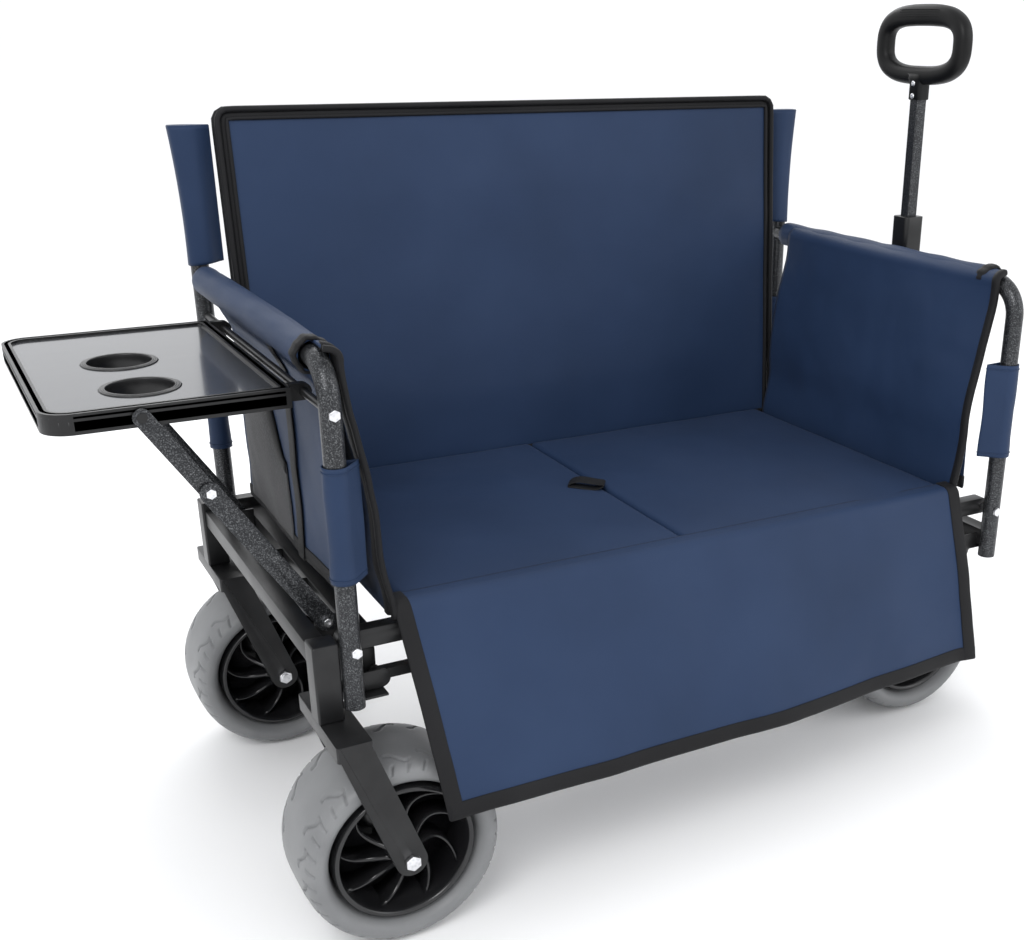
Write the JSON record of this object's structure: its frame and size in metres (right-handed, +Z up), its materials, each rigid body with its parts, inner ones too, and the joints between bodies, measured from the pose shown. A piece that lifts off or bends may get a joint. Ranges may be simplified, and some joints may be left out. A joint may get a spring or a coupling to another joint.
{
  "type": "folding beach cart",
  "caption": "Folding beach cart opened as a two-seat bench with fat wheels, a drop side table with cup holes and a telescoping pull handle.",
  "frame": {"origin": "on the floor, midway between the two end frames", "axes": "+X towards the pull handle, +Y towards the backrest, +Z up"},
  "size_m": [1.39, 0.7355, 1.1],
  "materials": {
    "hammered_steel": "hammered dark grey powder coat",
    "black_steel": "satin black paint",
    "zinc": "zinc plated",
    "tyre_grey": "soft grey balloon tyre",
    "rim_black": "glossy black moulding",
    "navy_fabric": "navy coated polyester weave",
    "black_fabric": "black webbing",
    "board": "plain fibreboard",
    "table_black": "black moulded rim",
    "table_grey": "smooth grey panel",
    "grip_black": "textured black moulding"
  },
  "bodies": {
    "left_end": {"left_arm_tube": "hammered_steel", "left_back_post": "hammered_steel", "left_end_rails": "black_steel", "left_brackets": "black_steel", "left_blocks": "black_steel", "left_forks": "black_steel", "left_axles": "zinc", "left_bolts": "zinc", "table_hinge_rod": "zinc", "left_arm_roll": "navy_fabric", "left_arm_panel": "navy_fabric", "left_end_panel": "navy_fabric", "left_sleeves": "navy_fabric", "backrest": "navy_fabric", "skirt": "navy_fabric"},
    "left_front_wheel": {"left_front_tyre": "tyre_grey", "left_front_rim": "rim_black"},
    "left_back_wheel": {"left_back_tyre": "tyre_grey", "left_back_rim": "rim_black"},
    "table": {"table_tray": "table_black", "table_inset": "table_grey", "cup_rings": "table_black", "table_hardware": "black_steel"},
    "lower_brace": {"lower_braces": "hammered_steel", "knee_bolts": "zinc"},
    "upper_brace": {"upper_braces": "hammered_steel"},
    "left_seat": {"left_rails": "black_steel", "left_seat_board": "board", "left_seat_pad": "navy_fabric", "pull_loop": "black_fabric"},
    "left_link": {"left_links": "black_steel"},
    "hub": {"hub_frame": "black_steel", "hub_pins": "zinc"},
    "right_seat": {"right_rails": "black_steel", "right_seat_board": "board", "right_seat_pad": "navy_fabric"},
    "right_link": {"right_links": "black_steel"},
    "right_end": {"right_arm_tube": "hammered_steel", "right_back_post": "hammered_steel", "right_cross_rail": "black_steel", "steering_head": "black_steel", "right_bolts": "zinc", "right_arm_roll": "navy_fabric", "right_arm_panel": "navy_fabric", "right_end_panel": "navy_fabric", "right_sleeves": "navy_fabric", "handle_clip": "grip_black"},
    "bogie": {"bogie_beam": "black_steel", "kingpin": "black_steel", "handle_pin": "zinc", "right_forks": "black_steel", "right_axles": "zinc"},
    "right_front_wheel": {"right_front_tyre": "tyre_grey", "right_front_rim": "rim_black"},
    "right_back_wheel": {"right_back_tyre": "tyre_grey", "right_back_rim": "rim_black"},
    "handle_lower": {"handle_outer_tube": "hammered_steel", "handle_collar": "grip_black"},
    "handle_upper": {"handle_inner_tube": "hammered_steel", "handle_grip": "grip_black"}
  },
  "joints": [
    {"name": "fold", "type": "hinge", "parent": "left_end", "child": "left_seat", "pos_m": [-0.497, 0, 0.395], "axis": [0, -1, 0], "range_deg": [0, 70], "deforming": ["backrest", "skirt", "left_arm_panel", "right_arm_panel", "left_end_panel", "right_end_panel"]},
    {"name": "left_link_pivot", "type": "hinge", "parent": "left_end", "child": "left_link", "pos_m": [-0.462, 0, 0.342], "axis": [0, -1, 0], "range_deg": [0, 70]},
    {"name": "hub_left_pivot", "type": "hinge", "parent": "left_seat", "child": "hub", "pos_m": [-0.045, 0, 0.395], "axis": [0, -1, 0], "range_deg": [-70, 0]},
    {"name": "hub_right_pivot", "type": "hinge", "parent": "hub", "child": "right_seat", "pos_m": [0.045, 0, 0.395], "axis": [0, -1, 0], "range_deg": [-70, 0]},
    {"name": "right_link_pivot", "type": "hinge", "parent": "hub", "child": "right_link", "pos_m": [0.01, 0, 0.342], "axis": [0, -1, 0], "range_deg": [-70, 0]},
    {"name": "right_end_pivot", "type": "hinge", "parent": "right_seat", "child": "right_end", "pos_m": [0.497, 0, 0.395], "axis": [0, -1, 0], "range_deg": [0, 70]},
    {"name": "left_front_wheel_spin", "type": "hinge", "parent": "left_end", "child": "left_front_wheel", "pos_m": [-0.464, -0.278, 0.127], "axis": [0, 1, 0], "continuous": true},
    {"name": "left_back_wheel_spin", "type": "hinge", "parent": "left_end", "child": "left_back_wheel", "pos_m": [-0.464, 0.278, 0.127], "axis": [0, 1, 0], "continuous": true},
    {"name": "right_front_wheel_spin", "type": "hinge", "parent": "bogie", "child": "right_front_wheel", "pos_m": [0.485, -0.119, 0.127], "axis": [0, 1, 0], "continuous": true},
    {"name": "right_back_wheel_spin", "type": "hinge", "parent": "bogie", "child": "right_back_wheel", "pos_m": [0.485, 0.119, 0.127], "axis": [0, 1, 0], "continuous": true},
    {"name": "steer", "type": "hinge", "parent": "right_end", "child": "bogie", "pos_m": [0.543, 0, 0.34], "axis": [0, 0, 1], "range_deg": [-60, 60]},
    {"name": "handle_tilt", "type": "hinge", "parent": "bogie", "child": "handle_lower", "pos_m": [0.543, 0, 0.404], "axis": [0, 1, 0], "range_deg": [0, 110]},
    {"name": "handle_slide", "type": "slide", "parent": "handle_lower", "child": "handle_upper", "axis": [0, 0, 1], "range_m": [-0.17, 0.095]},
    {"name": "table_fold", "type": "hinge", "parent": "left_end", "child": "table", "pos_m": [-0.5, 0, 0.678], "axis": [0, -1, 0], "range_deg": [0, 80]},
    {"name": "lower_brace_pivot", "type": "hinge", "parent": "left_end", "child": "lower_brace", "pos_m": [-0.502, 0, 0.398], "axis": [0, 1, 0], "range_deg": [0, 19]},
    {"name": "upper_brace_pivot", "type": "hinge", "parent": "table", "child": "upper_brace", "pos_m": [-0.679, 0, 0.675], "axis": [0, -1, 0], "range_deg": [0, 82]}
  ],
  "couplings": [
    {"joint": "left_link_pivot", "follows": "fold", "ratio": 1},
    {"joint": "hub_left_pivot", "follows": "fold", "ratio": -1},
    {"joint": "hub_right_pivot", "follows": "fold", "ratio": -1},
    {"joint": "right_link_pivot", "follows": "fold", "ratio": -1},
    {"joint": "right_end_pivot", "follows": "fold", "ratio": 1},
    {"joint": "lower_brace_pivot", "follows": "table_fold", "ratio": 0.22963},
    {"joint": "upper_brace_pivot", "follows": "table_fold", "ratio": 1.0204}
  ]
}
